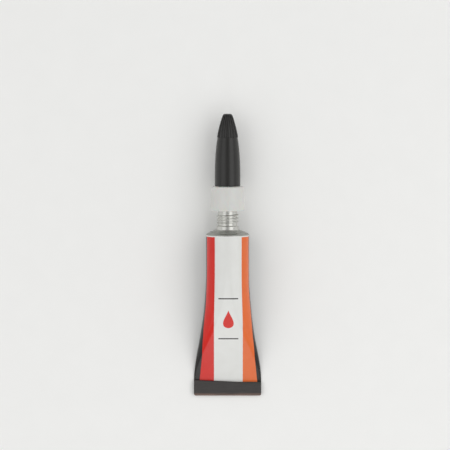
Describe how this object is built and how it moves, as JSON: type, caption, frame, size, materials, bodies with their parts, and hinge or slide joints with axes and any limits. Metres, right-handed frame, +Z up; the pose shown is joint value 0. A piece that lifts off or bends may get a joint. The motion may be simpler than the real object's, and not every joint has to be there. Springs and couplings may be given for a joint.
{
  "type": "super glue tube",
  "caption": "Small crimped aluminium glue tube lying on its flat back, with a folded tail, threaded neck, screw-down piercing nozzle and tapering push-on cap.",
  "frame": {"origin": "bottom centre of the bounding box, on the plane of the tube's flat back", "axes": "+Z up out of the flat back towards the printed front, +Y along the tube from the folded tail to the cap, +X to the right of the printed front"},
  "size_m": [0.0212, 0.0888, 0.0135],
  "materials": {
    "tube_aluminium": "soft drawn sheet with a printed gloss coat",
    "sealant_rubber": "cured latex",
    "glue_liquid": "clear thin liquid",
    "web_aluminium": "bare thin web",
    "nozzle_polyethylene": "smooth moulded white",
    "cap_polypropylene": "satin moulded black"
  },
  "bodies": {
    "tube": {"tube_shell": "tube_aluminium", "tail_sealant": "sealant_rubber", "glue_fill": "glue_liquid"},
    "web": {"neck_membrane": "web_aluminium"},
    "nozzle": {"nozzle": "nozzle_polyethylene"},
    "cap": {"cap": "cap_polypropylene"}
  },
  "joints": [
    {"name": "nozzle_travel", "type": "slide", "parent": "tube", "child": "web", "axis": [0, -1, 0], "range_m": [0, 0.0045]},
    {"name": "nozzle_turn", "type": "hinge", "parent": "web", "child": "nozzle", "pos_m": [0, 0.01628, 0.00675], "axis": [0, -1, 0], "range_deg": [0, 1625]},
    {"name": "cap_pull", "type": "slide", "parent": "nozzle", "child": "cap", "axis": [0, 1, 0], "range_m": [0, 0.024]}
  ],
  "couplings": [
    {"joint": "nozzle_turn", "follows": "nozzle_travel", "rad_per_m": 6283.2}
  ]
}
